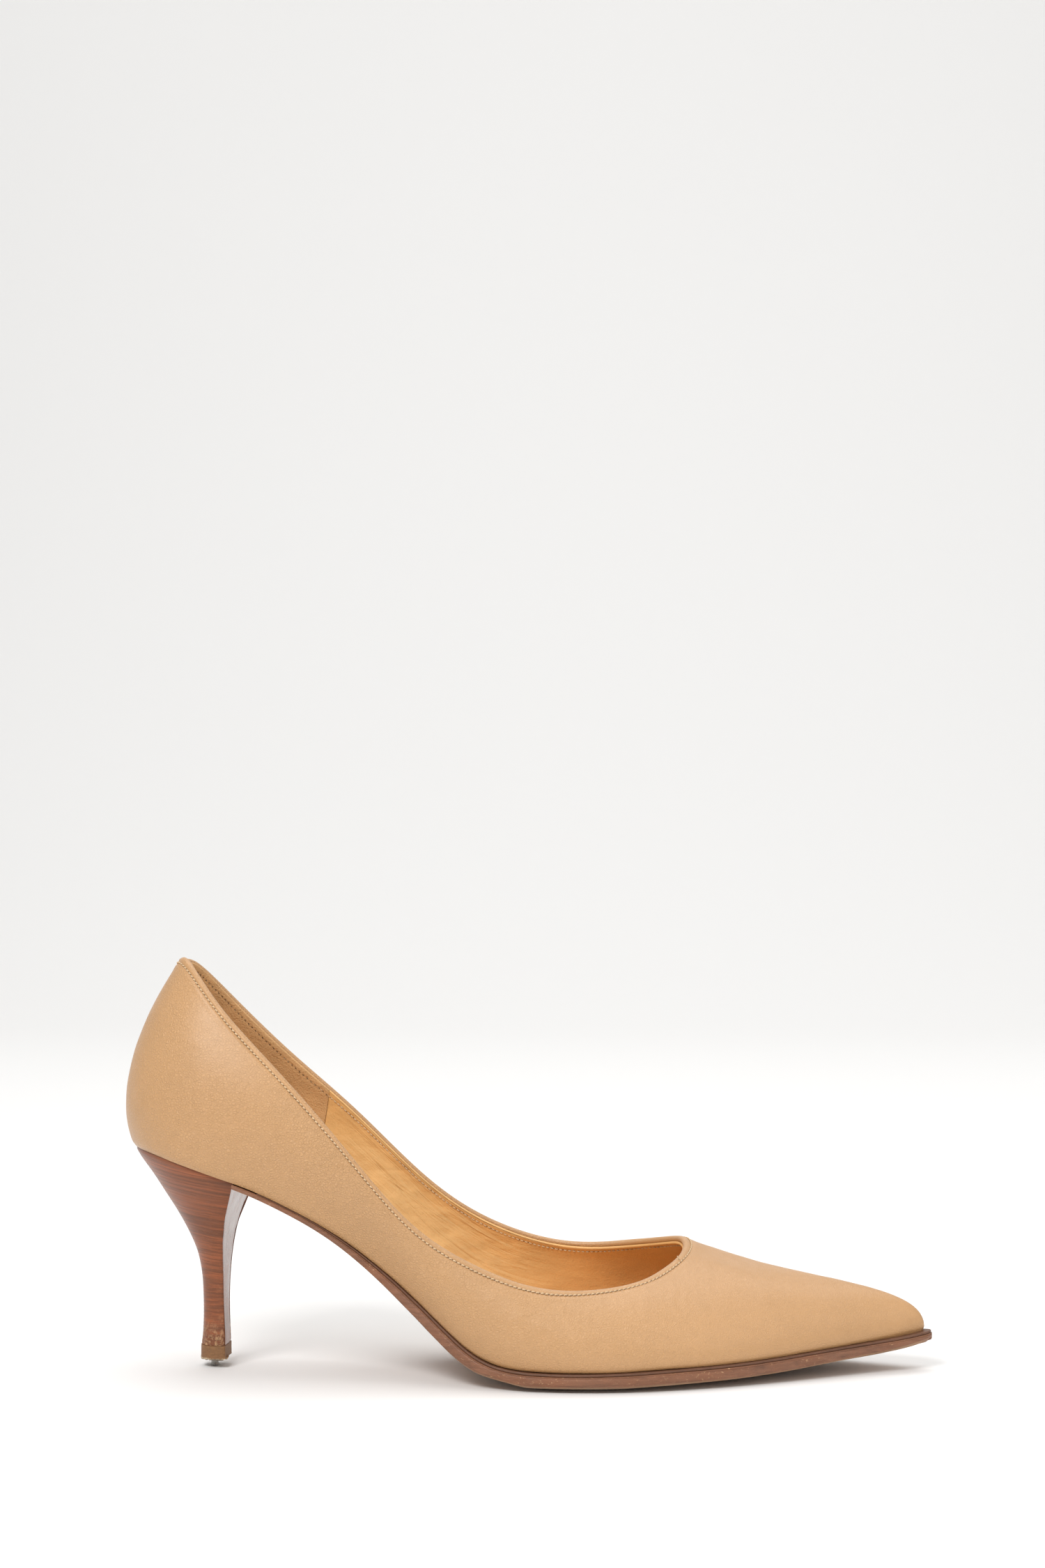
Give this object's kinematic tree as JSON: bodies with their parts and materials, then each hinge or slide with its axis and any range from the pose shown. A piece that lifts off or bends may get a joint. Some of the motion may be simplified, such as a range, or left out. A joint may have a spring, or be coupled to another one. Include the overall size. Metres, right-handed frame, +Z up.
{
  "type": "high heel pump",
  "caption": "Pointed closed-toe leather pump for the right foot, low-cut top edge, slim stacked-look heel, thin leather sole.",
  "frame": {"origin": "centre of the whole shoe's plan, on the ground it stands on", "axes": "+X towards the toe along the shoe, +Y towards the inner (medial) side, +Z up"},
  "size_m": [0.2399, 0.0771, 0.1224],
  "materials": {
    "upper": "smooth camel calf leather with a fine pebble grain, semi-matt",
    "thread": "cream waxed polyester sewing thread",
    "lining": "smooth tan kid lining leather",
    "suede": "napped suede lining leather",
    "stiffener": "thermoplastic stiffener sheet",
    "tape": "woven reinforcing tape",
    "sole": "stained and burnished sole leather",
    "rand": "dark stained leather rand",
    "heel_cover": "polished stacked leather",
    "breast_cover": "smooth polished dark brown leather",
    "heel_core": "moulded ABS",
    "steel": "plain steel",
    "lift": "worn brown polyurethane",
    "board": "pressed fibre board",
    "rivet": "plain brass",
    "filler": "cork and resin filler sheet",
    "sock": "smooth tan sock leather",
    "foam": "latex foam"
  },
  "bodies": {
    "root": {"upper_leather": "upper", "topline_stitching": "thread", "vamp_lining": "lining", "heel_grip_lining": "suede", "heel_counter": "stiffener", "toe_box": "stiffener", "topline_tape": "tape", "back_seam_tape": "tape", "outsole": "sole", "sole_rand": "rand", "heel_wrap": "heel_cover", "heel_breast_cover": "breast_cover", "heel_core": "heel_core", "heel_tube": "steel", "top_lift": "lift", "top_lift_dowel": "steel", "heel_screw": "steel", "heel_nails": "steel", "insole_board": "board", "shank_board": "board", "steel_shank": "steel", "shank_rivets": "rivet", "bottom_filler": "filler", "sock_lining": "sock", "heel_pad": "foam", "forepart_pad": "foam"}
  },
  "joints": []
}
